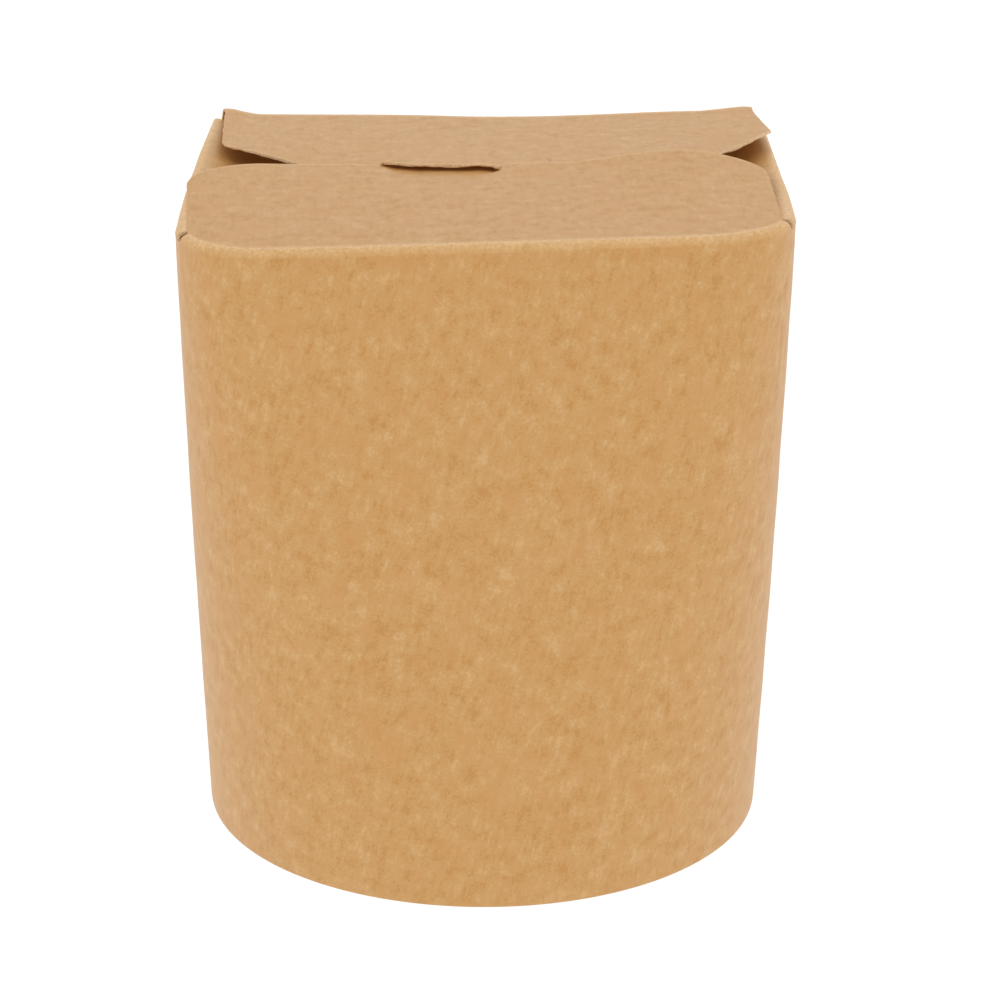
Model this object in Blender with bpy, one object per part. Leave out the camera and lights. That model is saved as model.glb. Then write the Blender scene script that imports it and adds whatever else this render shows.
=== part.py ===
"""Noodle takeaway box, shut: a kraft board carton with a round foot and a rounded square top.

The walls run from a circle at the foot to a rounded square at the top crease. Two side flaps fold in and
slope down, the back flap lies over them, and the front flap lies over the back one, with its tongue
tucked into a curved slit.
"""

import math

import bmesh
import bpy
import numpy as np

MM = 0.001

# Carton body, in millimetres
FOOT_RADIUS = 45.0
CREASE_HEIGHT = 104.0
TOP_WIDTH = 91.8
TOP_DEPTH = 85.2
TOP_SHIFT = 0.25
FRONT_CORNER_RADIUS = 15.2
BACK_CORNER_RADIUS = 6.5
FRONT_CROWN = 0.30
SIDE_CROWN = 0.25
WALL_BELLY = 0.25
FOLD_RADIUS = 1.3
HINGE_INSET = 1.26
FRONT_TWIST = 1.7

# Foot: the wall is hemmed in over the rim of a recessed bottom
HEM_THICKNESS = 1.6
FOOT_RECESS = 6.5
FOOT_EASE = 0.35

# Board and lid
BOARD = 0.45
FRONT_SLOT_ANGLE = math.radians(20)
BACK_SLOT_ANGLE = math.radians(12)
SLOT_WIDTH = 0.9
SLOT_ACROSS = 1.5
SLOT_DEPTH = 0.9
GUSSET_SLOPE = 0.23
GUSSET_INNER = 22.0
GUSSET_OUTER = 50.0
GUSSET_FRONT = -31.8
GUSSET_BACK = 34.5
TONGUE_LEFT = -17.0
TONGUE_RIGHT = 4.6
LIP_LIFT = 0.75
SLIT_OPENING = 3.4
TONGUE_DIP = 0.85
FRONT_EDGE_LEFT = -46.0
FRONT_EDGE_RIGHT = 43.65
BACK_TIP_LEFT = (-42.3, 14.7)
BACK_TIP_RIGHT = (46.0, 18.6)
BACK_CUT_LEFT = 0.72
BACK_CUT_RIGHT = 1.47
SHOULDER_START = 4.2
SHOULDER_STEP = 1.3
SHOULDER_OVERLAP = 2.5
LEFT_SHOULDER_ROUND = 11.0
RIGHT_SHOULDER_ROUND = 7.5
LID_FILL = CREASE_HEIGHT - 6.0
CAP_LEVEL = CREASE_HEIGHT - 2.6

# Mesh density
CORNER_STEPS = 17
SIDE_STEPS = 3
WALL_RINGS = 7
FLAP_COLUMNS = 40
FLAP_ROWS = 10

KRAFT = (0.604, 0.337, 0.133, 1.0)


def smooth(low, high, value):
    """0 below low, 1 above high, with an eased run between them."""
    t = min(max((value - low) / (high - low), 0.0), 1.0)
    return t * t * (3 - 2 * t)


def crease_arcs(corner_radius):
    """The three arcs of a quarter of the top crease: (first normal angle, last, radius)."""
    front = math.atan(4 * FRONT_CROWN / (TOP_WIDTH - 2 * corner_radius))
    side = math.atan(4 * SIDE_CROWN / (TOP_DEPTH - 2 * corner_radius))
    turn = math.pi / 2 - front
    spans = np.array(
        [
            [math.cos(turn), 1 - math.cos(side)],
            [1 - math.sin(turn), math.sin(side)],
        ]
    )
    corner_x = corner_radius * (math.cos(side) - math.cos(turn))
    corner_y = corner_radius * (math.sin(turn) - math.sin(side))
    front_radius, side_radius = np.linalg.solve(
        spans, (TOP_WIDTH / 2 - corner_x, TOP_DEPTH / 2 - corner_y)
    )
    return (
        (0.0, side, side_radius),
        (side, turn, corner_radius),
        (turn, math.pi / 2, front_radius),
    )


FRONT_ARCS = crease_arcs(FRONT_CORNER_RADIUS)
BACK_ARCS = crease_arcs(BACK_CORNER_RADIUS)


def crease_point(angle, inset=0.0):
    """Where the top crease's outward normal points along angle, moved in by inset."""
    across, along = math.cos(angle), math.sin(angle)
    turn = math.atan2(abs(along), abs(across))
    x, y = TOP_WIDTH / 2, 0.0
    for first, last, radius in BACK_ARCS if along > 0 else FRONT_ARCS:
        reached = min(max(turn, first), last)
        x -= radius * (math.cos(first) - math.cos(reached))
        y += radius * (math.sin(reached) - math.sin(first))
    x, y = math.copysign(x, across), math.copysign(y, along)
    return x - inset * across + TOP_SHIFT, y - inset * along


def crease_angle(inset, side, reached):
    """The normal angle, from 0 at the side to a right angle, at which reached(x, y) first holds."""
    low, high = 0.0, math.pi / 2
    for _ in range(40):
        middle = (low + high) / 2
        x, y = crease_point(side * middle, inset)
        if reached(x - TOP_SHIFT, abs(y)):
            high = middle
        else:
            low = middle
    return low


def quarter_angles(arcs):
    """Normal angles of one quarter, from the side's middle towards the front or back's middle."""
    side, turn = arcs[0][1], arcs[1][1]
    angles = [side * k / SIDE_STEPS for k in range(SIDE_STEPS)]
    slot = BACK_SLOT_ANGLE if arcs is BACK_ARCS else FRONT_SLOT_ANGLE
    angles += [side, slot - 0.02, slot + 0.02]
    steps = [math.radians(5 * k) for k in range(1, CORNER_STEPS + 1)]
    angles += [step for step in steps if abs(step - slot) > 0.05]
    angles += [turn + (math.pi / 2 - turn) * k / SIDE_STEPS for k in range(SIDE_STEPS)]
    return sorted(angles)


def all_angles():
    back, front = quarter_angles(BACK_ARCS), quarter_angles(FRONT_ARCS)
    behind = back + [math.pi / 2] + [math.pi - a for a in reversed(back[1:])]
    before = front + [math.pi / 2] + [math.pi - a for a in reversed(front[1:])]
    return behind + [math.pi + a for a in before]


def crease_height(x, y):
    """The top crease is a little higher at its front right than at its front left."""
    return CREASE_HEIGHT + FRONT_TWIST * x / (TOP_WIDTH / 2) * min(max(-2 * y / TOP_DEPTH, 0.0), 1.0)


def back_rise(x):
    """How far the back crease stands up at its ends, where the board resists the fold."""
    right = 1.15 * smooth(6, 40, x) + 0.95 * smooth(36, 44, x)
    left = 0.08 * smooth(4, 16, -x) + 1.0 * smooth(37.5, 44.5, -x)
    return right + left


def rim_height(angle):
    """Height of the crease round the carton; the front and back runs end at the corner slots."""
    x, y = crease_point(angle)
    off_side = math.atan2(abs(math.sin(angle)), abs(math.cos(angle)))
    share = 1.0 if off_side > BACK_SLOT_ANGLE else 0.4 * smooth(18, 36, y)
    return crease_height(x, y) + (share * back_rise(x) if y > 0 else 0.0)


def wall_point(angle, share):
    """On the wall, share of the way from the foot to the fold."""
    top = crease_point(angle)
    belly = WALL_BELLY * math.sin(math.pi * share)
    x = (1 - share) * FOOT_RADIUS * math.cos(angle) + share * top[0] + belly * math.cos(angle)
    y = (1 - share) * FOOT_RADIUS * math.sin(angle) + share * top[1] + belly * math.sin(angle)
    return x, y, share * (rim_height(angle) - FOLD_RADIUS)


def body_rings():
    angles = all_angles()
    inner = FOOT_RADIUS - FOOT_EASE
    rings = [[(inner * math.cos(a), inner * math.sin(a), 0.0) for a in angles]]
    shares = [0.004] + [k / WALL_RINGS for k in range(1, WALL_RINGS + 1)]
    rings += [[wall_point(a, share) for a in angles] for share in shares]
    for step in range(1, 5):
        turn = math.radians(22.5 * step)
        inset = FOLD_RADIUS * (1 - math.cos(turn))
        drop = FOLD_RADIUS * (1 - math.sin(turn))
        rings.append([(*crease_point(a, inset), rim_height(a) - drop) for a in angles])
    rings.append([(*crease_point(a, FOLD_RADIUS + 3.0), CAP_LEVEL) for a in angles])
    return rings


def collection_of(name):
    found = bpy.data.collections.new(name)
    bpy.context.scene.collection.children.link(found)
    return found


def object_of(name, shape, collection):
    """A mesh object from a bmesh held in millimetres."""
    bmesh.ops.scale(shape, vec=(MM, MM, MM), verts=shape.verts)
    bmesh.ops.recalc_face_normals(shape, faces=shape.faces)
    if shape.calc_volume(signed=True) < 0:
        bmesh.ops.reverse_faces(shape, faces=shape.faces)
    mesh = bpy.data.meshes.new(name)
    shape.to_mesh(mesh)
    shape.free()
    made = bpy.data.objects.new(name, mesh)
    collection.objects.link(made)
    return made


def helper(made):
    made.hide_render = True
    made.display_type = "WIRE"
    return made


def lofted(name, rings, collection):
    """A closed loft through rings of equal length, with a flat face on each end."""
    shape = bmesh.new()
    rows = [[shape.verts.new(point) for point in ring] for ring in rings]
    count = len(rings[0])
    for low, high in zip(rows, rows[1:]):
        for k in range(count):
            n = (k + 1) % count
            shape.faces.new((low[k], low[n], high[n], high[k]))
    shape.faces.new(rows[0][::-1])
    shape.faces.new(rows[-1])
    return object_of(name, shape, collection)


def slab(name, plan, top, bottom, columns, rows, collection):
    """A sheet between two height functions, over the area that plan(u, v) covers for u and v in 0 to 1."""
    shape = bmesh.new()
    bmesh.ops.create_grid(shape, x_segments=columns, y_segments=rows, size=0.5)
    raised = bmesh.ops.extrude_face_region(shape, geom=shape.faces[:], use_keep_orig=True)
    under = set(shape.verts) - set(raised["geom"])
    for vert in shape.verts:
        x, y = plan(vert.co.x + 0.5, vert.co.y + 0.5)
        height = bottom if vert in under else top
        vert.co = (x, y, height(x, y))
    return object_of(name, shape, collection)


def hinge_point(share, side):
    """On the front (side -1) or back (side 1) crease, between its corner slots, just inside the fold."""
    slot = BACK_SLOT_ANGLE if side > 0 else FRONT_SLOT_ANGLE
    end = crease_point(side * slot, HINGE_INSET)[0] - TOP_SHIFT
    x = end * (2 * share - 1)
    angle = crease_angle(HINGE_INSET, side, lambda across, _: across < abs(x))
    return x + TOP_SHIFT, crease_point(side * angle, HINGE_INSET)[1]


def slit_y(x):
    """The slit is nearly straight, and its left end turns back."""
    return 3.0 + 4.2 * max((-10 - x) / 7, 0.0) ** 2 + 0.4 * max(x / 4, 0.0) ** 2


def tongue(x):
    """1 on the tongue of the front flap, easing to 0 on its shoulders."""
    return smooth(TONGUE_LEFT - 2, TONGUE_LEFT + 4, x) * (1 - smooth(TONGUE_RIGHT - 4, TONGUE_RIGHT + 2, x))


def shoulder_y(x):
    """The front flap's free edge beside the tongue, with a rounded corner at each end."""
    edge = SHOULDER_START + SHOULDER_STEP * smooth(15, 28, x)
    left, right = x - FRONT_EDGE_LEFT, FRONT_EDGE_RIGHT - x
    radius, room = (LEFT_SHOULDER_ROUND, left) if left < right else (RIGHT_SHOULDER_ROUND, right)
    past = max(radius - room, 0.0)
    return edge + math.sqrt(max(radius**2 - past**2, 0.0)) - radius


def front_edge_y(x):
    if TONGUE_LEFT < x < TONGUE_RIGHT:
        return min(slit_y(x), shoulder_y(x))
    return shoulder_y(x)


def spring(x):
    """The flaps' right halves don't lie flat: how far both stand up along the front flap's edge."""
    return 0.45 * smooth(-4, 8, x) + 1.8 * smooth(10, 30, x)


def back_lift(x, y):
    """How far the back flap's upper face stands above the crease level."""
    near = 0.05 + spring(x) + 0.9 * smooth(38, 46, x) + 1.15 * smooth(24, 42, -x)
    near += LIP_LIFT * tongue(x)
    share = min(max((y - 5) / 31, 0.0), 1.0)
    return 0.03 + (1 - share) * near + share * back_rise(x)


def back_top(x, y):
    return CREASE_HEIGHT + back_lift(x, y)


def front_top(x, y):
    """The front flap's upper face climbs from its crease onto the back flap and dips at the tongue."""
    run = min(max((y + TOP_DEPTH / 2) / (TOP_DEPTH / 2 + 4.5), 0.0), 1.2)
    over = BOARD + spring(x) - 1.3 * smooth(30, 44, x)
    dip = TONGUE_DIP * tongue(x) * smooth(-10, 3, y)
    return crease_height(x, y) + 0.03 + over * run**1.6 - dip


def sheet_bottom(top):
    """Board thickness over the sloping side flaps, solid elsewhere."""

    def bottom(x, y):
        over_gusset = abs(x) > GUSSET_INNER + 1 and GUSSET_FRONT + 1 < y < GUSSET_BACK - 1
        return top(x, y) - BOARD if over_gusset else LID_FILL

    return bottom


def front_plan(u, v):
    start = hinge_point(u, -1)
    x_end = FRONT_EDGE_LEFT + (FRONT_EDGE_RIGHT - FRONT_EDGE_LEFT) * u
    end = (x_end, front_edge_y(x_end))
    return tuple(a + (b - a) * v for a, b in zip(start, end))


def back_edge_y(x):
    """The back flap's near edge: slanting cuts at its ends, the slit's far lip in the middle."""
    left = BACK_TIP_LEFT[1] + BACK_CUT_LEFT * (BACK_TIP_LEFT[0] - x)
    right = BACK_TIP_RIGHT[1] + BACK_CUT_RIGHT * (x - BACK_TIP_RIGHT[0])
    covered = slit_y(x) if TONGUE_LEFT < x < TONGUE_RIGHT else shoulder_y(x) - SHOULDER_OVERLAP
    return max(left, right, covered)


def back_plan(u, v):
    start = hinge_point(u, 1)
    x_end = BACK_TIP_LEFT[0] + (BACK_TIP_RIGHT[0] - BACK_TIP_LEFT[0]) * u
    end = (x_end, back_edge_y(x_end))
    return tuple(b + (a - b) * v for a, b in zip(start, end))


def gusset_cutter(side, collection):
    """Room above one side flap, which slopes down and in from its crease."""

    def plan(u, v):
        x = GUSSET_INNER + (GUSSET_OUTER - GUSSET_INNER) * u
        return side * x, GUSSET_FRONT + (GUSSET_BACK - GUSSET_FRONT) * v

    def floor(x, y):
        end = 1 if y > 0 else -1
        angle = crease_angle(FOLD_RADIUS, end, lambda _, along: along > abs(y))
        along_x = crease_point(end * angle, FOLD_RADIUS)[0] - TOP_SHIFT
        rise = 0.4 * smooth(18, 36, y) * back_rise(side * TOP_WIDTH / 2)
        reach = along_x - side * (x - TOP_SHIFT)
        return crease_height(x, y) + rise - 0.04 - GUSSET_SLOPE * reach

    name = "gusset_room_right" if side > 0 else "gusset_room_left"
    return helper(slab(name, plan, lambda x, y: CREASE_HEIGHT + 12, floor, 3, 12, collection))


def slit_cutter(collection):
    """The dark gap under the slit's lip, above the tongue."""

    def plan(u, v):
        x = TONGUE_LEFT + 1 + (TONGUE_RIGHT - TONGUE_LEFT - 2) * u
        return x, slit_y(x) - 1.2 + SLIT_OPENING * v

    def roof(x, y):
        return back_top(x, slit_y(x)) - BOARD

    def floor(x, y):
        return min(front_top(x, slit_y(x)) + 0.02, roof(x, y) - 0.03)

    return helper(slab("slit_gap", plan, roof, floor, 16, 1, collection))


def slot_cutter(name, across, along, collection):
    """The relief slot at a corner of the top, where two creases meet."""
    shape = bmesh.new()
    bmesh.ops.create_cube(shape, size=1.0)
    made = object_of(name, shape, collection)
    slot = BACK_SLOT_ANGLE if along > 0 else FRONT_SLOT_ANGLE
    angle = math.atan2(along * math.sin(slot), across * math.cos(slot))
    made.scale = (SLOT_ACROSS, SLOT_WIDTH, 8.0)
    made.rotation_euler.z = angle
    x, y = crease_point(angle, 0.95)
    low = min(rim_height(angle - 0.1), rim_height(angle + 0.1)) - SLOT_DEPTH
    made.location = (x * MM, y * MM, (low + 4.0) * MM)
    return helper(made)


def foot_cutter(collection):
    """The recess under the bottom, inside the hemmed foot."""
    shape = bmesh.new()
    radius = FOOT_RADIUS - HEM_THICKNESS
    bmesh.ops.create_cone(
        shape, cap_ends=True, segments=96, radius1=radius, radius2=radius - 0.3, depth=2 * FOOT_RECESS
    )
    return helper(object_of("foot_recess", shape, collection))


def combine(body, other, operation):
    modifier = body.modifiers.new(other.name, "BOOLEAN")
    modifier.operation = operation
    modifier.solver = "EXACT"
    modifier.object = other


def kraft_material():
    material = bpy.data.materials.new("kraft_board")
    material.use_nodes = True
    shader = material.node_tree.nodes["Principled BSDF"]
    shader.inputs["Base Color"].default_value = KRAFT
    shader.inputs["Roughness"].default_value = 0.75
    shader.inputs["Metallic"].default_value = 0.0
    material.diffuse_color = KRAFT
    return material


def main():
    for old in list(bpy.data.objects):
        bpy.data.objects.remove(old)
    parts = collection_of("noodle_takeaway_box")
    cutters = collection_of("cutters")

    carton = lofted("carton", body_rings(), parts)
    for side in (-1, 1):
        combine(carton, gusset_cutter(side, cutters), "DIFFERENCE")
    for name, plan, top in (("back_flap", back_plan, back_top), ("front_flap", front_plan, front_top)):
        flap = slab(name, plan, top, sheet_bottom(top), FLAP_COLUMNS, FLAP_ROWS, cutters)
        combine(carton, helper(flap), "UNION")
    combine(carton, slit_cutter(cutters), "DIFFERENCE")
    for across in (-1, 1):
        for along in (-1, 1):
            name = f"slot_{'right' if across > 0 else 'left'}_{'back' if along > 0 else 'front'}"
            combine(carton, slot_cutter(name, across, along, cutters), "DIFFERENCE")
    combine(carton, foot_cutter(cutters), "DIFFERENCE")

    carton.data.materials.append(kraft_material())
    carton.data.shade_smooth()
    carton.data.set_sharp_from_angle(angle=math.radians(35))


main()
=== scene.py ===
"""Looks of the shut kraft takeaway box: one creased sheet of board and its bottom disc."""

import math

import bpy
import numpy as np
from mathutils import Matrix, Vector, noise


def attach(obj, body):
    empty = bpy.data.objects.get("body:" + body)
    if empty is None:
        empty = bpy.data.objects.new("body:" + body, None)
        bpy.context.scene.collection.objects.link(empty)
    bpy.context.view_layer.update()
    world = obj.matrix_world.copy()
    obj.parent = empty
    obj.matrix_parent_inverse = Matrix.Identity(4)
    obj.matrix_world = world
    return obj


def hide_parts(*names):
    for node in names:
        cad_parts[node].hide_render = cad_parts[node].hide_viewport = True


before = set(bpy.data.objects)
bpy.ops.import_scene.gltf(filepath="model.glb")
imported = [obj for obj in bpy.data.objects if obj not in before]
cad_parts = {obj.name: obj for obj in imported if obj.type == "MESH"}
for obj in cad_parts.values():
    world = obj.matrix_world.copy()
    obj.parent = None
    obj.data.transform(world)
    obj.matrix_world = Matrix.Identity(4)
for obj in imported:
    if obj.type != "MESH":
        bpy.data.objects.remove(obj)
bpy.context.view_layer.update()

MM = 0.001

# Lengths are in millimetres. A step is a height and the two places between which it is reached.
# A ripple is its length, its depth and where in the pattern it starts.

# Carton outline
FOOT_RADIUS = 45.0
CREASE_HEIGHT = 104.0
TOP_WIDTH = 92.0
TOP_DEPTH = 85.2
TOP_SHIFT = 0.25
FRONT_CORNER_RADIUS = 15.2
BACK_CORNER_RADIUS = 4.5
FRONT_CROWN = 0.30
FRONT_SIDE_CROWN = 0.35
BACK_SIDE_CROWN = 0.06
WALL_BELLY = 0.25
FOLD_RADIUS = 1.3
SIDE_FOLD_RADIUS = 0.7
BACK_END_FOLD_RADIUS = 0.6
FRONT_TWIST = 1.7
LEFT_SAG = 0.35
LEFT_SAG_FRONT = (-30, -4)
LEFT_SAG_BACK = (16, 4)
FRONT_SLOT_ANGLE = math.radians(20)
FRONT_SLOT_HALF = math.radians(3.2)
BACK_SLOT_ANGLE = math.radians(28)
BACK_SLOT_HALF = math.radians(21)
SLOT_DROP = 0.45
SIDE_FOLD_STRETCH = (-28, -8)
BACK_END_FOLD_STRETCH = (0, 3.5)
BEAD = 0.045
BEAD_LENGTH = 1.2

# Board, hem and bottom
BOARD = 0.45
LAYER_GAP = 0.03
TAB_GAP = 0.02
HEM_RADIUS = 0.8
HEM_HEIGHT = 5.6
HEM_SQUARE = 0.4
HEM_TAPER = 0.1
HEM_WAVE = 0.12
FOOT_RECESS = 6.5
DISC_DOME = 0.12
DISC_BEND = 0.8

# Side flaps
GUSSET_SLOPE = 0.45
GUSSET_INNER = 21.0
GUSSET_TAPER = 0.9
GUSSET_BEND = 0.8

# Back crease, which stands up at both ends and sags a little in the middle
BACK_RISE_RIGHT = (1.15, 6, 40)
BACK_RISE_RIGHT_END = (0.75, 35, 44)
BACK_RISE_LEFT = (0.08, 4, 16)
BACK_RISE_LEFT_END = (1.0, 37.5, 44.5)
BACK_SAG = 0.16
BACK_SAG_WIDTH = 8

# Tongue and slit
TONGUE_LEFT = -16.7
TONGUE_RIGHT = 2.5
TONGUE_REACH = 3.0
TONGUE_DIP = 0.6
TONGUE_DIP_STRETCH = (-10, 3)
TONGUE_BEND = 3.5
TONGUE_SINK = 0.1
LIP_LIFT = 0.75
SLIT_Y = 3.0
SLIT_HOOK = 4.2
SLIT_HOOK_START = -10
SLIT_HOOK_LENGTH = 7
SLIT_TAIL = 0.4
SLIT_TAIL_LENGTH = 4
SLIT_GAP = 0.6
SLIT_GAP_OPENS = (-17.2, -13.5)
SLIT_GAP_CLOSES = (1.3, 2.6)

# Front and back flap
SHOULDER_Y = 4.2
SHOULDER_STEP = (1.3, 15, 28)
SPRING_MIDDLE = (0.45, -4, 8)
SPRING_RIGHT = (1.8, 10, 30)
FRONT_DROP_RIGHT = (1.15, 30, 44)
FRONT_CLIMB_END = 4.5
FRONT_CLIMB_MOST = 1.2
FRONT_CLIMB_POWER = 1.6
BACK_CLEARANCE = 0.05
BACK_LIFT_RIGHT = (1.4, 38.5, 46)
BACK_LIFT_LEFT = (1.3, 24, 42)
BACK_NEAR_Y = 5
BACK_RUN = 31
FLAP_OVERLAP = 2.5
HINGE_STIFFNESS = 8
FRONT_EDGE_LEFT = -45.65
FRONT_EDGE_RIGHT = 43.65
BACK_TIP_LEFT = (-42.2, 14.6)
BACK_TIP_ROUND = 1.6
BACK_TIP_RIGHT = (45.8, 18.3)
BACK_CUT_LEFT = 0.74
BACK_CUT_RIGHT = 1.42
LEFT_SHOULDER_ROUND = 11.0
RIGHT_SHOULDER_ROUND = 9.0

# Ripples of the board
WALL_RIPPLE = (9.0, 0.05, 0.0)
SIDE_FLAP_RIPPLE = (7.0, 0.06, 0.0)
FLAP_RIPPLE = (8.0, 0.07, 5.0)
DISC_RIPPLE = (11.0, 0.08, 9.0)

# Glued seam at the back left corner
SEAM_STEP = 0.38
SEAM_RUN = 12.0
SEAM_TAB = 3.0
SEAM_STARTS = (0.5, 4.0)
SEAM_PINCH = 0.09
SEAM_PINCH_LENGTH = 2.5

# Scored line under the crease, dented and darkened with painted shade
SCORE_STARTS = 3.2
SCORE_FULL = 0.6
SCORE_DEPTH = 0.05

# Cut and worn edges; the crease band's pale wear and painted highlight
FRONT_TEAR = 0.10
BACK_TEAR = 0.16
LIP_TEAR = 0.44
TEAR_LENGTH = 1.4
WEAR_AND_HIGHLIGHT_WIDTH = 1.2
EDGE_WEAR = 0.75
FUZZ = 0.09
FUZZ_RANGE = 0.14
PLY_SPREAD = 0.5
SHARP_ANGLE = 50

# Mesh density
LID_PITCH = 0.7
SIDE_PITCH = 1.0
SLOT_PITCH = 0.3
TAB_PITCH = 0.6
WALL_PITCH = 1.6
OUTLINE_STEPS = 40001
HEM_ROWS = 6
HEM_TURN_STEPS = 9
TOP_ROWS = 14
TOP_ROWS_START = 0.95
FOLD_STEPS = 9
SLOT_FOLD_STEPS = 2
FLAP_ROWS = 56
GUSSET_ROWS = 24
DISC_STEPS = 128

# Camera fitted to the photograph, lengths in millimetres
FOCAL_PIXELS = 3057.4
PICTURE_PIXELS = 1000
CAMERA_PITCH = 0.3444
CAMERA_DISTANCE = 493.4
CAMERA_ROLL = -0.0059
LOOK_AT = (2.63, 0.0, 50.22)

# Studio; the floor reaches this many metres each way
FLOOR_REACH = 4.0
SKY_STRENGTH = 0.97


def smooth(low, high, value):
    """0 at low and before it, 1 at high and past it, eased between; low may be the larger."""
    t = min(max((value - low) / (high - low), 0.0), 1.0)
    return t * t * (3 - 2 * t)


def eased(step, value):
    """How much of a step's height is reached at value."""
    height, low, high = step
    return height * smooth(low, high, value)


# Outline of the top crease
def crease_arcs(corner_radius, side_crown):
    """The three arcs of a quarter of the top crease: (first normal angle, last, radius)."""
    front = math.atan(4 * FRONT_CROWN / (TOP_WIDTH - 2 * corner_radius))
    side = math.atan(4 * side_crown / (TOP_DEPTH - 2 * corner_radius))
    turn = math.pi / 2 - front
    spans = np.array([[math.cos(turn), 1 - math.cos(side)], [1 - math.sin(turn), math.sin(side)]])
    corner_x = corner_radius * (math.cos(side) - math.cos(turn))
    corner_y = corner_radius * (math.sin(turn) - math.sin(side))
    wide, deep = np.linalg.solve(spans, (TOP_WIDTH / 2 - corner_x, TOP_DEPTH / 2 - corner_y))
    return (0.0, side, deep), (side, turn, corner_radius), (turn, math.pi / 2, wide)


FRONT_ARCS = crease_arcs(FRONT_CORNER_RADIUS, FRONT_SIDE_CROWN)
BACK_ARCS = crease_arcs(BACK_CORNER_RADIUS, BACK_SIDE_CROWN)


def crease_point(angle, inset=0.0):
    """Where the top crease's outward normal points along angle, moved in by inset."""
    across, along = math.cos(angle), math.sin(angle)
    turn = math.atan2(abs(along), abs(across))
    x, y = TOP_WIDTH / 2, 0.0
    for first, last, radius in BACK_ARCS if along > 0 else FRONT_ARCS:
        reached = min(max(turn, first), last)
        x -= radius * (math.cos(first) - math.cos(reached))
        y += radius * (math.sin(reached) - math.sin(first))
    x, y = math.copysign(x, across), math.copysign(y, along)
    return x - inset * across + TOP_SHIFT, y - inset * along


def crease_height(x, y):
    """The top crease is a little higher at its front right than at its front left."""
    forward = min(max(-2 * y / TOP_DEPTH, 0.0), 1.0)
    return CREASE_HEIGHT + FRONT_TWIST * x / (TOP_WIDTH / 2) * forward


def back_rise(x):
    """How far the back crease stands up at its ends, where the board resists the fold."""
    right = eased(BACK_RISE_RIGHT, x) + eased(BACK_RISE_RIGHT_END, x)
    left = eased(BACK_RISE_LEFT, -x) + eased(BACK_RISE_LEFT_END, -x)
    return right + left - BACK_SAG * math.exp(-((x / BACK_SAG_WIDTH) ** 2))


def rim_height(angle):
    """Height of the crease round the carton; only the back run stands up, from its corner slots."""
    x, y = crease_point(angle)
    off_side = math.atan2(abs(math.sin(angle)), abs(math.cos(angle)))
    if y > 0 and off_side > BACK_SLOT_ANGLE:
        return crease_height(x, y) + back_rise(x)
    if x < 0:
        return crease_height(x, y) - LEFT_SAG * smooth(*LEFT_SAG_BACK, y) * smooth(*LEFT_SAG_FRONT, y)
    return crease_height(x, y)


# Lid surfaces
def slit_y(x):
    """The slit is nearly straight, and its left end turns back."""
    hook = max((SLIT_HOOK_START - x) / SLIT_HOOK_LENGTH, 0.0)
    tail = max(x / SLIT_TAIL_LENGTH, 0.0)
    return SLIT_Y + SLIT_HOOK * hook**2 + SLIT_TAIL * tail**2


def tongue(x):
    """1 on the tongue of the front flap, easing to 0 on its shoulders."""
    left = smooth(TONGUE_LEFT - 2, TONGUE_LEFT + 4, x)
    return left * (1 - smooth(TONGUE_RIGHT - 4, TONGUE_RIGHT + 2, x))


def shoulder_y(x):
    """The front flap's free edge beside the tongue, with a rounded corner at each end."""
    edge = SHOULDER_Y + eased(SHOULDER_STEP, x)
    left, right = x - FRONT_EDGE_LEFT, FRONT_EDGE_RIGHT - x
    radius, room = (LEFT_SHOULDER_ROUND, left) if left < right else (RIGHT_SHOULDER_ROUND, right)
    past = max(radius - room, 0.0)
    return edge + math.sqrt(max(radius**2 - past**2, 0.0)) - radius


def on_tongue(x):
    return TONGUE_LEFT < x < TONGUE_RIGHT


def front_edge_y(x):
    """The tongue's end is out of sight, under the back flap."""
    if on_tongue(x):
        return slit_y(x) + TONGUE_REACH
    return shoulder_y(x)


def spring(x):
    """The flaps' right halves don't lie flat: how far both stand up along the front flap's edge."""
    return eased(SPRING_MIDDLE, x) + eased(SPRING_RIGHT, x)


def back_top(x, y):
    """The back flap's near edge stands up at its tips and over the tongue."""
    near = BACK_CLEARANCE + spring(x) + eased(BACK_LIFT_RIGHT, x) + eased(BACK_LIFT_LEFT, -x)
    near += LIP_LIFT * tongue(x)
    share = min(max((y - BACK_NEAR_Y) / BACK_RUN, 0.0), 1.0)
    return CREASE_HEIGHT + LAYER_GAP + (1 - share) * near + share * back_rise(x)


def slit_gap(x):
    """Height of the dark opening between the tongue and the slit's lip."""
    return LAYER_GAP + SLIT_GAP * smooth(*SLIT_GAP_OPENS, x) * (1 - smooth(*SLIT_GAP_CLOSES, x))


def front_top(x, y):
    """The front flap climbs from its crease onto the back flap, and its tongue dives under the lip."""
    run = (y + TOP_DEPTH / 2) / (TOP_DEPTH / 2 + FRONT_CLIMB_END)
    run = min(max(run, 0.0), FRONT_CLIMB_MOST)
    over = BOARD + spring(x) - eased(FRONT_DROP_RIGHT, x)
    dip = TONGUE_DIP * tongue(x) * smooth(*TONGUE_DIP_STRETCH, y)
    height = crease_height(x, y) + LAYER_GAP + over * run**FRONT_CLIMB_POWER - dip
    if on_tongue(x):
        past = y - slit_y(x)
        lip = back_top(x, max(y, slit_y(x)))
        under = lip - BOARD - slit_gap(x) - TONGUE_SINK * max(past, 0.0)
        height += smooth(-TONGUE_BEND, 0.0, past) * (under - height)
    return height


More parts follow.
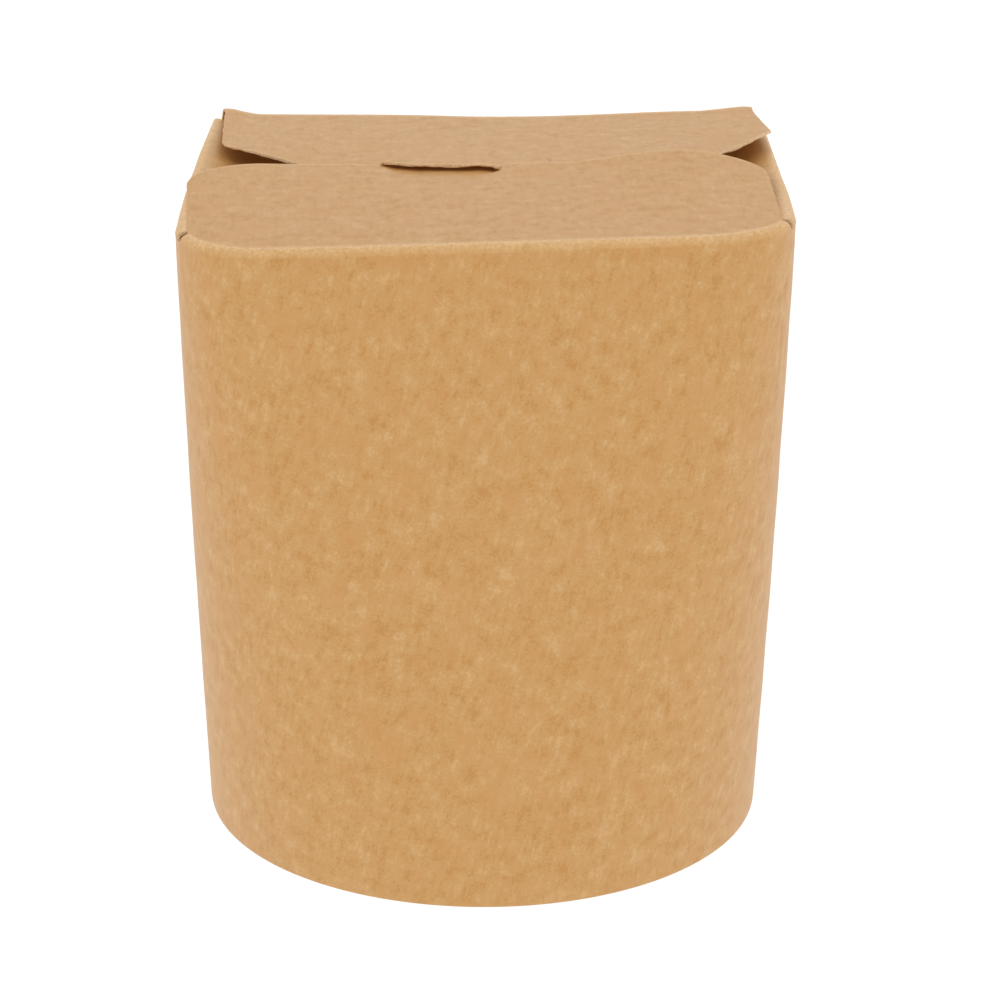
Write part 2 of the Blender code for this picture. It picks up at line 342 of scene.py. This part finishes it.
def back_edge_y(x):
    """The back flap's near edge: slanting cuts at its ends, the slit's far lip in the middle."""
    left = BACK_TIP_LEFT[1] + BACK_CUT_LEFT * (BACK_TIP_LEFT[0] - x)
    right = BACK_TIP_RIGHT[1] + BACK_CUT_RIGHT * (x - BACK_TIP_RIGHT[0])
    covered = slit_y(x) if on_tongue(x) else shoulder_y(x) - FLAP_OVERLAP
    past = max(BACK_TIP_ROUND - (x - BACK_TIP_LEFT[0]), 0.0)
    tip = BACK_TIP_ROUND - math.sqrt(max(BACK_TIP_ROUND**2 - past**2, 0.0))
    return max(left, right, covered) + tip


# Columns of the sheet, clockwise from the glued seam
def sheet_columns():
    """For each column: its sector, its normal angle at the crease and its place along the crease."""
    back, front = BACK_SLOT_HALF, FRONT_SLOT_HALF
    start = math.pi - BACK_SLOT_ANGLE
    end = start - 2 * math.pi
    front_left = FRONT_SLOT_ANGLE - math.pi
    marks = [
        ("slot", start, start - back, SLOT_PITCH),
        ("back", start - back, BACK_SLOT_ANGLE + back, LID_PITCH),
        ("slot", BACK_SLOT_ANGLE + back, BACK_SLOT_ANGLE - back, SLOT_PITCH),
        ("right", BACK_SLOT_ANGLE - back, front - FRONT_SLOT_ANGLE, SIDE_PITCH),
        ("slot", front - FRONT_SLOT_ANGLE, -front - FRONT_SLOT_ANGLE, SLOT_PITCH),
        ("front", -front - FRONT_SLOT_ANGLE, front + front_left, LID_PITCH),
        ("slot", front + front_left, -front + front_left, SLOT_PITCH),
        ("left", -front + front_left, back + end, SIDE_PITCH),
        ("slot", back + end, end, SLOT_PITCH),
        ("tab", end, end - SEAM_TAB / BACK_CORNER_RADIUS, TAB_PITCH),
    ]
    fine = np.linspace(marks[0][1], marks[-1][2], OUTLINE_STEPS)
    points = np.array([crease_point(a) for a in fine])
    along = np.concatenate([[0.0], np.cumsum(np.hypot(*np.diff(points, axis=0).T))])
    place = [0.0]
    sector = []
    for name, first, last, pitch in marks:
        low, high = np.interp([-first, -last], -fine, along)
        count = max(round((high - low) / pitch), 2)
        place += list(low + (high - low) * np.arange(1, count + 1) / count)
        sector += [name] * count
    place = np.array(place)
    return fine, along, place, np.interp(place, along, fine), sector


FINE, ALONG, PLACE, ANGLE, SECTOR = sheet_columns()
COLUMNS = len(PLACE)


def column_sectors(index):
    """The sectors of the faces on both sides of a column."""
    return {SECTOR[k] for k in (index - 1, index) if 0 <= k < len(SECTOR)}


def column_rims():
    """Crease height at each column, run straight across the slots."""
    high = np.array([rim_height(a) for a in ANGLE])
    held = np.array([column_sectors(k) - {"slot", "tab"} != set() for k in range(COLUMNS)])
    across = np.interp(PLACE, PLACE[held], high[held])
    level = np.array([crease_height(*crease_point(a)) for a in ANGLE])
    return np.where(held, across, np.minimum(across, level) - SLOT_DROP)


RIM = column_rims()


def column_folds():
    """Radius of the crease at each column: tighter on the side flaps and at the back flap's ends."""
    kept = [k for k in range(COLUMNS) if column_sectors(k) - {"slot", "tab"}]
    back = [PLACE[k] for k in kept if "back" in column_sectors(k)]
    radius = []
    for k in kept:
        tight, tightest = 0.0, SIDE_FOLD_RADIUS
        if column_sectors(k) & {"left", "right"}:
            tight = smooth(*SIDE_FOLD_STRETCH, crease_point(ANGLE[k])[1])
        elif "back" in column_sectors(k):
            from_end = min(PLACE[k] - back[0], back[-1] - PLACE[k])
            tight, tightest = 1 - smooth(*BACK_END_FOLD_STRETCH, from_end), BACK_END_FOLD_RADIUS
        radius.append(FOLD_RADIUS - (FOLD_RADIUS - tightest) * tight)
    return np.interp(PLACE, PLACE[kept], radius)


FOLD = column_folds()

# Places along the foot; the tab runs on past the seam by its own width
SEAM_PLACE = PLACE[SECTOR.index("tab")]
ON_TAB = PLACE > SEAM_PLACE
FOOT_ROUND = 2 * math.pi * FOOT_RADIUS
FOOT_PLACE = np.where(ON_TAB, FOOT_ROUND + PLACE - SEAM_PLACE, FOOT_ROUND * PLACE / SEAM_PLACE)


def seam_push(along, past, height):
    """How far the wall steps out over the glued tab; past the seam, the tab lies under it."""
    share = smooth(*SEAM_STARTS, height)
    if past > 0:
        return SEAM_STEP * (1 - past / SEAM_RUN) * share - BOARD - TAB_GAP
    if along < SEAM_RUN:
        return SEAM_STEP * (1 - along / SEAM_RUN) * share
    return -SEAM_PINCH * smooth(-SEAM_PINCH_LENGTH, 0.0, past) * share


def ripple(point, size, depth, seed):
    """Gentle unevenness of the board."""
    return depth * noise.noise(Vector(point) / size + Vector((seed, 0.0, 0.0)))


class Sheet:
    """Grid points of the board's outer face: rows up the wall, columns round it."""

    def __init__(self):
        self.points = []
        self.marks = []
        self.rows = []
        self.faces = []

    def row(self, places, marks):
        """Adds a row; places holds None where the sheet has no column there."""
        index = []
        for place, mark in zip(places, marks):
            index.append(None if place is None else len(self.points))
            if place is not None:
                self.points.append(place)
                self.marks.append(mark)
        if self.rows:
            low = self.rows[-1]
            for k in range(COLUMNS - 1):
                corners = (low[k], index[k], index[k + 1], low[k + 1])
                if None not in corners:
                    self.faces.append(corners)
        self.rows.append(index)


def hem_profile():
    """Radius and height of the hem's rows: down the inside of the foot, then round its lower edge."""
    inner = FOOT_RADIUS - 2 * HEM_RADIUS
    tall = HEM_HEIGHT - HEM_RADIUS
    profile = []
    for k in range(HEM_ROWS, 0, -1):
        profile.append((inner - HEM_TAPER * k / HEM_ROWS, HEM_RADIUS + tall * k / HEM_ROWS))
    for k in range(HEM_TURN_STEPS):
        turn = math.pi + math.pi * k / HEM_TURN_STEPS
        out = math.copysign(abs(math.cos(turn)) ** HEM_SQUARE, math.cos(turn))
        down = abs(math.sin(turn)) ** HEM_SQUARE
        profile.append((FOOT_RADIUS - HEM_RADIUS * (1 - out), HEM_RADIUS * (1 - down)))
    return profile


def foot_rows(sheet):
    """The hem, whose upper edge inside the foot is cut unevenly. The glued tab starts above it."""
    for row, (radius, height) in enumerate(hem_profile()):
        places = []
        for angle, on_tab in zip(FINE[0] - FOOT_PLACE / FOOT_RADIUS, ON_TAB):
            wave = HEM_WAVE * noise.noise(Vector((angle * 9, height, 3.0))) if row == 0 else 0.0
            place = (radius * math.cos(angle), radius * math.sin(angle), height + wave)
            places.append(None if on_tab else place)
        sheet.row(places, [(s, height, 0.0, 0.0) for s in PLACE])


def wall_rows(sheet):
    """The wall from the hem to the crease, blended from the round foot to the rounded square top."""
    low = HEM_RADIUS / (CREASE_HEIGHT - FOLD_RADIUS)
    count = round((CREASE_HEIGHT - 6) / WALL_PITCH)
    shares = list(np.linspace(low, TOP_ROWS_START, count))
    shares += list(np.linspace(TOP_ROWS_START, 1.0, TOP_ROWS))[1:]
    for share in shares:
        blended = (1 - share) * FOOT_RADIUS * (FINE[0] - FINE) + share * ALONG
        wanted = (1 - share) * FOOT_PLACE + share * PLACE
        seam = (1 - share) * FOOT_ROUND + share * SEAM_PLACE
        angles = np.interp(wanted, blended, FINE)
        belly = WALL_BELLY * math.sin(math.pi * share)
        places, marks = [], []
        for k, angle in enumerate(angles):
            top = crease_point(angle)
            across, along = math.cos(angle), math.sin(angle)
            height = share * (RIM[k] - FOLD[k])
            past = wanted[k] - seam if ON_TAB[k] else min(wanted[k] - seam, 0.0)
            push = belly + seam_push(wanted[k], past, height)
            x = (1 - share) * FOOT_RADIUS * across + share * top[0] + push * across
            y = (1 - share) * FOOT_RADIUS * along + share * top[1] + push * along
            below = RIM[k] - FOLD[k] - height
            # The score dents the wall and sets the painted shade just under the crease
            score_and_shade = smooth(SCORE_STARTS, SCORE_FULL, below)
            dent = ripple((x, y, height), *WALL_RIPPLE) - SCORE_DEPTH * score_and_shade
            places.append((x + dent * across, y + dent * along, height))
            marks.append((wanted[k], height, 0.0, score_and_shade))
        sheet.row(places, marks)


def fold_rows(sheet):
    """The crease: a quarter turn, slightly beaded, left out across the corner slots."""
    for step in range(1, FOLD_STEPS + 1):
        turn = math.pi / 2 * step / FOLD_STEPS
        places, marks = [], []
        for k in range(COLUMNS):
            sectors = column_sectors(k)
            gone = "tab" in sectors and "slot" not in sectors
            if gone or (sectors <= {"slot", "tab"} and step > SLOT_FOLD_STEPS):
                places.append(None)
                marks.append(None)
                continue
            uneven = noise.noise(Vector((PLACE[k] / BEAD_LENGTH, step / 4, 7.0)))
            bead = BEAD * math.sin(2 * turn) * (1 + uneven)
            push = bead + seam_push(PLACE[k], PLACE[k] - SEAM_PLACE, CREASE_HEIGHT)
            x, y = crease_point(ANGLE[k], FOLD[k] - (FOLD[k] + push) * math.cos(turn))
            height = RIM[k] - FOLD[k] + (FOLD[k] + bead) * math.sin(turn)
            places.append((x, y, height))
            # The fold's top gets the most pale wear and painted highlight
            marks.append((PLACE[k], RIM[k] + step * 0.2, math.sin(turn), 0.0))
        sheet.row(places, marks)


def hinge_ends(name):
    """Lowest and highest x of a sector's hinge line."""
    columns = [k for k in range(COLUMNS) if name in column_sectors(k)]
    across = [crease_point(ANGLE[k], FOLD[k])[0] for k in columns]
    return min(across), max(across)


def torn(x, depth):
    """Unevenness of a flap's free edge."""
    return depth * noise.noise(Vector((x / TEAR_LENGTH, 4.0, 0.0)))


def flap_rows(sheet):
    """The four flaps, each from its crease to its free edge; the side flaps have fewer rows."""
    front_low, front_high = hinge_ends("front")
    back_low, back_high = hinge_ends("back")
    side_columns = {"left", "right"}
    for row in range(1, FLAP_ROWS + 1):
        places, marks = [], []
        for k in range(COLUMNS):
            v = row / FLAP_ROWS
            sectors = column_sectors(k)
            x0, y0 = crease_point(ANGLE[k], FOLD[k])
            if "front" in sectors:
                u = (x0 - front_low) / (front_high - front_low)
                x1 = FRONT_EDGE_LEFT + (FRONT_EDGE_RIGHT - FRONT_EDGE_LEFT) * u
                y1 = front_edge_y(x1) + torn(x1, FRONT_TEAR)
                surface = front_top
            elif "back" in sectors:
                u = (x0 - back_low) / (back_high - back_low)
                x1 = BACK_TIP_LEFT[0] + (BACK_TIP_RIGHT[0] - BACK_TIP_LEFT[0]) * u
                y1 = back_edge_y(x1) + torn(x1, BACK_TEAR + LIP_TEAR * tongue(x1))
                surface = back_top
            elif sectors & side_columns and row <= GUSSET_ROWS:
                v = row / GUSSET_ROWS
                x1 = math.copysign(GUSSET_INNER, x0)
                y1 = GUSSET_TAPER * y0
                surface = None
            else:
                places.append(None)
                marks.append(None)
                continue
            x, y = x0 + (x1 - x0) * v, y0 + (y1 - y0) * v
            reach = math.hypot(x - x0, y - y0)
            if surface is None:
                bend = GUSSET_BEND * (1 - math.exp(-reach / GUSSET_BEND))
                height = RIM[k] - GUSSET_SLOPE * (reach - bend)
                height += ripple((x, y, 0), *SIDE_FLAP_RIPPLE) * smooth(0, 3, reach)
            else:
                height = surface(x, y) + (RIM[k] - surface(x0, y0)) * (1 - v) ** HINGE_STIFFNESS
                height += ripple((x, y, 0), *FLAP_RIPPLE) * smooth(0.02, 0.2, v)
            # Pale wear and painted highlight fade away from the crease; each flap's free edge is paler
            wear_and_highlight = max(1 - reach / WEAR_AND_HIGHLIGHT_WIDTH, 0.0)
            if surface is not None and row == FLAP_ROWS:
                wear_and_highlight = EDGE_WEAR
            places.append((x, y, height))
            marks.append((PLACE[k], RIM[k] + 2 + reach, wear_and_highlight, 0.0))
        sheet.row(places, marks)


def board_mesh():
    """The outer face of the whole sheet, row on row from the hem to the flaps' edges."""
    sheet = Sheet()
    foot_rows(sheet)
    wall_rows(sheet)
    fold_rows(sheet)
    flap_rows(sheet)
    return sheet


def point_normals(points, faces):
    """Normals at the points of a face that has no thickness yet."""
    thin = bpy.data.meshes.new("thin_face")
    thin.from_pydata(points.tolist(), [], faces)
    thin.update()
    normals = np.zeros(len(points) * 3)
    thin.vertex_normals.foreach_get("vector", normals)
    bpy.data.meshes.remove(thin)
    return normals.reshape(-1, 3)


def free_edges(faces):
    """Edges that only one face has."""
    once = {}
    for face in faces:
        for a, b in zip(face, face[1:] + face[:1]):
            if (b, a) in once:
                del once[(b, a)]
            else:
                once[(a, b)] = True
    return list(once)


def thickened(name, points, faces, marks, materials):
    """A closed piece of board from its outer face: inner face and a rough cut edge all round."""
    count = len(points)
    outer = np.array(points)
    normals = point_normals(outer, faces)
    depth = np.full((count, 1), BOARD)
    border = free_edges(faces)
    for v in {v for edge in border for v in edge}:
        uneven = noise.noise(Vector(outer[v]) / 1.1 + Vector((0.0, 0.0, 40.0)))
        depth[v] *= 1 + PLY_SPREAD * uneven
    inner = outer - depth * normals
    outward = {}
    for a, b in border:
        side = np.cross(outer[b] - outer[a], normals[a] + normals[b])
        length = np.linalg.norm(side)
        for v in (a, b):
            outward[v] = outward.get(v, 0) + side / max(length, 1e-9)
    middle = {}
    rough = []
    for v, direction in outward.items():
        direction = direction / max(np.linalg.norm(direction), 1e-9)
        middle[v] = 2 * count + len(rough)
        fuzz = FUZZ + FUZZ_RANGE * noise.noise(Vector(outer[v]) / 0.8)
        rough.append((outer[v] + inner[v]) / 2 + direction * max(fuzz, 0.0))
    verts = np.concatenate([outer, inner, np.array(rough)]) * MM
    all_faces = list(faces)
    all_faces += [tuple(v + count for v in reversed(face)) for face in faces]
    inner_count = len(all_faces)
    for a, b in border:
        all_faces.append((b, a, middle[a], middle[b]))
        all_faces.append((middle[b], middle[a], a + count, b + count))
    mesh = bpy.data.meshes.new(name)
    mesh.from_pydata(verts.tolist(), [], all_faces)
    for material in materials:
        mesh.materials.append(material)
    slots = np.zeros(len(all_faces), dtype=np.int32)
    slots[inner_count:] = 1
    mesh.polygons.foreach_set("material_index", slots)
    mesh.polygons.foreach_set("use_smooth", np.ones(len(all_faces), dtype=bool))
    values = np.array(list(marks) + list(marks) + [marks[v] for v in middle])
    values[count : 2 * count, 2:] = 0.0
    on_sheet = np.column_stack([values[:, :2], np.zeros(len(values))])
    sheet_place = mesh.attributes.new("sheet", "FLOAT_VECTOR", "POINT")
    sheet_place.data.foreach_set("vector", on_sheet.ravel())
    for column, label in ((2, "wear_and_highlight"), (3, "score_and_shade")):
        layer = mesh.attributes.new(label, "FLOAT", "POINT")
        layer.data.foreach_set("value", values[:, column])
    mesh.update()
    mesh.set_sharp_from_angle(angle=math.radians(SHARP_ANGLE))
    made = bpy.data.objects.new(name, mesh)
    bpy.context.scene.collection.objects.link(made)
    return made


# Materials
class Graph:
    """Short names for building a node material whose patterns are measured in millimetres."""

    def __init__(self, name):
        self.material = bpy.data.materials.new(name)
        self.material.use_nodes = True
        self.tree = self.material.node_tree
        self.shader = self.tree.nodes["Principled BSDF"]
        place = self.tree.nodes.new("ShaderNodeTexCoord").outputs["Object"]
        self.place = self.scaled(place, (1000, 1000, 1000))

    def put(self, socket, value):
        if isinstance(value, bpy.types.NodeSocket):
            self.tree.links.new(value, socket)
        else:
            socket.default_value = value

    def scaled(self, vector, scale):
        node = self.tree.nodes.new("ShaderNodeVectorMath")
        node.operation = "MULTIPLY"
        self.put(node.inputs[0], vector)
        node.inputs[1].default_value = scale
        return node.outputs[0]

    def attribute(self, name, output="Fac"):
        node = self.tree.nodes.new("ShaderNodeAttribute")
        node.attribute_name = name
        return node.outputs[output]

    def noise(self, scale, detail=2.0, roughness=0.5, vector=None, output="Fac"):
        node = self.tree.nodes.new("ShaderNodeTexNoise")
        self.put(node.inputs["Vector"], self.place if vector is None else vector)
        node.inputs["Scale"].default_value = scale
        node.inputs["Detail"].default_value = detail
        node.inputs["Roughness"].default_value = roughness
        return node.outputs[output]

    def math(self, operation, a, b=0.0, clamp=False):
        node = self.tree.nodes.new("ShaderNodeMath")
        node.operation = operation
        node.use_clamp = clamp
        self.put(node.inputs[0], a)
        self.put(node.inputs[1], b)
        return node.outputs[0]

    def ramp(self, value, low, high):
        """0 at low, 1 at high, eased."""
        node = self.tree.nodes.new("ShaderNodeMapRange")
        node.interpolation_type = "SMOOTHSTEP"
        self.put(node.inputs["Value"], value)
        node.inputs["From Min"].default_value = low
        node.inputs["From Max"].default_value = high
        return node.outputs["Result"]

    def mix(self, share, a, b):
        node = self.tree.nodes.new("ShaderNodeMix")
        node.data_type = "RGBA"
        self.put(node.inputs[0], share)
        self.put(node.inputs[6], a)
        self.put(node.inputs[7], b)
        return node.outputs[2]

    def parts(self, vector, kind="ShaderNodeSeparateXYZ"):
        """The three parts of a vector or a colour."""
        node = self.tree.nodes.new(kind)
        self.put(node.inputs[0], vector)
        return tuple(node.outputs)[:3]

    def bump(self, height, distance):
        node = self.tree.nodes.new("ShaderNodeBump")
        node.inputs["Distance"].default_value = distance * MM
        self.put(node.inputs["Height"], height)
        self.put(self.shader.inputs["Normal"], node.outputs["Normal"])


def colour(red, green, blue):
    return (red, green, blue, 1.0)


DARK_KRAFT = colour(0.500, 0.244, 0.057)
KRAFT = colour(0.553, 0.300, 0.095)
LIGHT_KRAFT = colour(0.615, 0.370, 0.152)
WARM_KRAFT = colour(0.568, 0.285, 0.090)
# Darker kraft: painted shade along the scored line under the crease
SCORE_SHADE_KRAFT = colour(0.535, 0.250, 0.072)
# Pale kraft for wear and fibres, and the painted highlight on the crease band
WORN_AND_HIGHLIGHT_KRAFT = colour(0.760, 0.490, 0.225)
CUT_LIGHT = colour(0.780, 0.570, 0.350)
CUT_DARK = colour(0.600, 0.380, 0.190)
# Orange emission: a painted glow standing in for warm light bounced inside the carton's hollows
PAINTED_BOUNCE_GLOW = colour(1.000, 0.420, 0.110)
# Dark kraft for real specks, and the painted shade in the hooked crease mark
SPECK_AND_SHADE = colour(0.360, 0.170, 0.055)
PAINTED_BOUNCE_GLOW_STRENGTH = 0.025

# Hooked crease mark: where it stands, how far it bows, where its near end hooks and what it spans
NICK_X = 10.2
NICK_Y = 6.2
NICK_BOW = 0.055
NICK_HOOK_Y = 5.6
NICK_HOOK = 0.35
NICK_WIDTH = (0.08, 0.28)
NICK_NEAR_END = (4.3, 4.7)
NICK_FAR_END = (8.8, 9.6)


def hooked_nick(g):
    """1 along the small hooked crease mark in the back flap, right of the slit, where painted shade
    and a dent go.
    """
    x, y, z = g.parts(g.place)
    off = g.math("SUBTRACT", y, NICK_Y)
    bow = g.math("MULTIPLY", g.math("MULTIPLY", off, off), NICK_BOW)
    low = g.math("MAXIMUM", g.math("SUBTRACT", NICK_HOOK_Y, y), 0.0)
    hook = g.math("MULTIPLY", g.math("MULTIPLY", low, low), NICK_HOOK)
    line = g.math("SUBTRACT", g.math("SUBTRACT", NICK_X, bow), hook)
    beside = g.math("ABSOLUTE", g.math("SUBTRACT", x, line))
    mark = g.math("SUBTRACT", 1.0, g.ramp(beside, *NICK_WIDTH))
    mark = g.math("MULTIPLY", mark, g.ramp(y, *NICK_NEAR_END))
    mark = g.math("MULTIPLY", mark, g.math("SUBTRACT", 1.0, g.ramp(y, *NICK_FAR_END)))
    return g.math("MULTIPLY", mark, g.math("GREATER_THAN", z, CREASE_HEIGHT))


def mottling(g, sheet, blotch, grain):
    """Lighter and darker kraft in soft blotches, streaked along the sheet."""
    streak = g.noise(1.0, 3.0, 0.6, g.scaled(sheet, (1.1, 0.28, 1.0)))
    tone = g.math("ADD", g.math("MULTIPLY", blotch, 0.42), g.math("MULTIPLY", grain, 0.30))
    tone = g.math("ADD", tone, g.math("MULTIPLY", streak, 0.28))
    base = g.mix(g.ramp(tone, 0.40, 0.50), DARK_KRAFT, KRAFT)
    base = g.mix(g.ramp(tone, 0.505, 0.63), base, LIGHT_KRAFT)
    warm = g.noise(0.22, 3.0, 0.6, g.scaled(g.place, (1.0, 1.0, 0.8)))
    return g.mix(g.math("MULTIPLY", g.ramp(warm, 0.48, 0.66), 0.55), base, WARM_KRAFT)


def creases(g, base):
    """Pale broken wear and painted highlight on the creases, and painted shade along the scored line
    under them.
    """
    wear_and_highlight = g.attribute("wear_and_highlight")
    broken = g.ramp(g.noise(1.9, 4.0, 0.65), 0.42, 0.62)
    # Painted highlight and pale wear on the crease band, broken by noise
    worn_and_lit = g.math("MULTIPLY", wear_and_highlight, g.math("ADD", g.math("MULTIPLY", broken, 0.6), 0.45), clamp=True)
    base = g.mix(worn_and_lit, base, WORN_AND_HIGHLIGHT_KRAFT)
    score_and_shade = g.attribute("score_and_shade")
    patchy = g.ramp(g.noise(0.55, 3.0, 0.6), 0.38, 0.6)
    # Painted shade along the scored line, in patches
    return g.mix(g.math("MULTIPLY", g.math("MULTIPLY", score_and_shade, patchy), 0.3), base, SCORE_SHADE_KRAFT)


def fibres(g, sheet, base):
    """Short pale fibres, lying along the sheet in patches."""
    fibre = g.noise(1.0, 1.0, 0.4, g.scaled(sheet, (0.9, 4.2, 1.0)))
    gate = g.ramp(g.noise(1.1, 1.0, 0.5), 0.55, 0.66)
    fibre = g.math("MULTIPLY", g.ramp(fibre, 0.66, 0.74), gate)
    return g.mix(g.math("MULTIPLY", fibre, 0.32), base, WORN_AND_HIGHLIGHT_KRAFT)


def specks(g, base):
    """Rare dark specks."""
    speck = g.tree.nodes.new("ShaderNodeTexVoronoi")
    speck.inputs["Scale"].default_value = 0.42
    g.put(speck.inputs["Vector"], g.place)
    draw = g.parts(speck.outputs["Color"], "ShaderNodeSeparateColor")[0]
    rare = g.math("GREATER_THAN", draw, 0.80)
    near = g.math("SUBTRACT", 1.0, g.ramp(speck.outputs["Distance"], 0.03, 0.09))
    return g.mix(g.math("MULTIPLY", g.math("MULTIPLY", near, rare), 0.3), base, SPECK_AND_SHADE)


def kraft_board():
    """The board's brown face, matt with a faint sheen and a faint painted glow of warm bounced light.
    """
    g = Graph("kraft_board")
    sheet = g.attribute("sheet", "Vector")
    blotch = g.noise(0.42, 4.0, 0.6)
    grain = g.noise(2.6, 2.0, 0.6)
    base = mottling(g, sheet, blotch, grain)
    base = creases(g, base)
    base = fibres(g, sheet, base)
    base = specks(g, base)
    nick = hooked_nick(g)
    # Painted shade in the hooked crease mark
    base = g.mix(g.math("MULTIPLY", nick, 0.6), base, SPECK_AND_SHADE)
    g.put(g.shader.inputs["Base Color"], base)
    g.put(g.shader.inputs["Roughness"], g.math("ADD", 0.40, g.math("MULTIPLY", grain, 0.14)))
    # Painted glow: faint orange emission for warm bounced light
    g.shader.inputs["Emission Color"].default_value = PAINTED_BOUNCE_GLOW
    g.shader.inputs["Emission Strength"].default_value = PAINTED_BOUNCE_GLOW_STRENGTH
    fine = g.math("MULTIPLY", g.noise(4.5, 3.0, 0.6), 0.6)
    height = g.math("ADD", fine, g.math("MULTIPLY", blotch, 0.8))
    g.bump(g.math("SUBTRACT", height, nick), 0.035)
    return g.material


def cut_edge():
    """The board's cut edge shows its paler inner plies and loose fibres."""
    g = Graph("cut_edge")
    plies = g.noise(3.2, 3.0, 0.7)
    base = g.mix(g.ramp(plies, 0.38, 0.62), CUT_DARK, CUT_LIGHT)
    g.put(g.shader.inputs["Base Color"], base)
    g.shader.inputs["Roughness"].default_value = 0.85
    # Painted glow: faint orange emission for warm bounced light
    g.shader.inputs["Emission Color"].default_value = PAINTED_BOUNCE_GLOW
    g.shader.inputs["Emission Strength"].default_value = PAINTED_BOUNCE_GLOW_STRENGTH
    g.bump(g.noise(6.0, 3.0, 0.7), 0.05)
    return g.material


# Bottom disc, pressed up inside the hemmed foot
def bottom_points():
    """Rings from the middle out, with the rim turned down behind the hem."""
    rim = FOOT_RADIUS - 2 * HEM_RADIUS + BOARD + 0.05
    profile = []
    for radius in np.linspace(0.0, rim - 1.0, 24):
        dome = DISC_DOME * math.cos(radius / 42 * math.pi / 2)
        profile.append((radius, FOOT_RECESS - dome))
    for turn in np.linspace(0.2, math.pi / 2, 6):
        radius = rim - DISC_BEND + DISC_BEND * math.sin(turn)
        profile.append((radius, FOOT_RECESS - DISC_BEND * (1 - math.cos(turn))))
    for down in (0.6, 1.4, 2.4):
        profile.append((rim, FOOT_RECESS - DISC_BEND - down))
    return profile


def bottom_disc(materials):
    profile = bottom_points()[1:]
    points = [(0.0, 0.0, FOOT_RECESS - DISC_DOME)]
    marks = [(0.0, 0.0, 0.0, 0.0)]
    for radius, height in profile:
        for k in range(DISC_STEPS):
            turn = 2 * math.pi * k / DISC_STEPS
            x, y = radius * math.cos(turn), radius * math.sin(turn)
            dent = ripple((x, y, 0), *DISC_RIPPLE) * smooth(43, 38, radius)
            points.append((x, y, height + dent))
            marks.append((x, y, 0.0, 0.0))
    faces = []
    for k in range(DISC_STEPS):
        n = (k + 1) % DISC_STEPS
        faces.append((0, 1 + n, 1 + k))
        for ring in range(len(profile) - 1):
            low, high = 1 + ring * DISC_STEPS, 1 + (ring + 1) * DISC_STEPS
            faces.append((low + k, low + n, high + n, high + k))
    return thickened("bottom_disc", points, faces, marks, materials)


# Studio
def floor():
    mesh = bpy.data.meshes.new("floor")
    reach = FLOOR_REACH
    corners = [(-reach, -reach, 0), (reach, -reach, 0), (reach, reach, 0), (-reach, reach, 0)]
    mesh.from_pydata(corners, [], [(0, 1, 2, 3)])
    material = bpy.data.materials.new("pale_floor")
    material.use_nodes = True
    shader = material.node_tree.nodes["Principled BSDF"]
    shader.inputs["Base Color"].default_value = (0.08, 0.08, 0.08, 1)
    shader.inputs["Roughness"].default_value = 1.0
    shader.inputs["Specular IOR Level"].default_value = 0.0
    shader.inputs["Emission Color"].default_value = (1, 1, 1, 1)
    shader.inputs["Emission Strength"].default_value = 1.0
    mesh.materials.append(material)
    made = bpy.data.objects.new("floor", mesh)
    bpy.context.scene.collection.objects.link(made)
    return made


def sky():
    world = bpy.data.worlds.new("studio")
    world.use_nodes = True
    tree = world.node_tree
    background = tree.nodes["Background"]
    background.inputs["Color"].default_value = (1, 1, 1, 1)
    background.inputs["Strength"].default_value = SKY_STRENGTH
    bpy.context.scene.world = world


def camera():
    data = bpy.data.cameras.new("camera")
    made = bpy.data.objects.new("camera", data)
    bpy.context.scene.collection.objects.link(made)
    tilt, roll = CAMERA_PITCH, CAMERA_ROLL
    forward = Vector((0, math.cos(tilt), -math.sin(tilt)))
    up = Vector((0, math.sin(tilt), math.cos(tilt)))
    right = Vector((1, 0, 0))
    rolled_right = right * math.cos(roll) - up * math.sin(roll)
    rolled_up = right * math.sin(roll) + up * math.cos(roll)
    pose = Matrix((rolled_right, rolled_up, -forward)).transposed().to_4x4()
    pose.translation = (Vector(LOOK_AT) - forward * CAMERA_DISTANCE) * MM
    made.matrix_world = pose
    data.sensor_width = 36.0
    data.lens = FOCAL_PIXELS * data.sensor_width / PICTURE_PIXELS
    data.clip_start = 0.01
    data.clip_end = 20.0
    bpy.context.scene.camera = made


camera()
sky()
floor()
bpy.context.scene.view_settings.view_transform = "Standard"

finishes = [kraft_board(), cut_edge()]
board = board_mesh()
carton = thickened("carton_board", board.points, board.faces, board.marks, finishes)
disc = bottom_disc(finishes)
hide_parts("carton")
for piece in (carton, disc):
    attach(piece, "root")
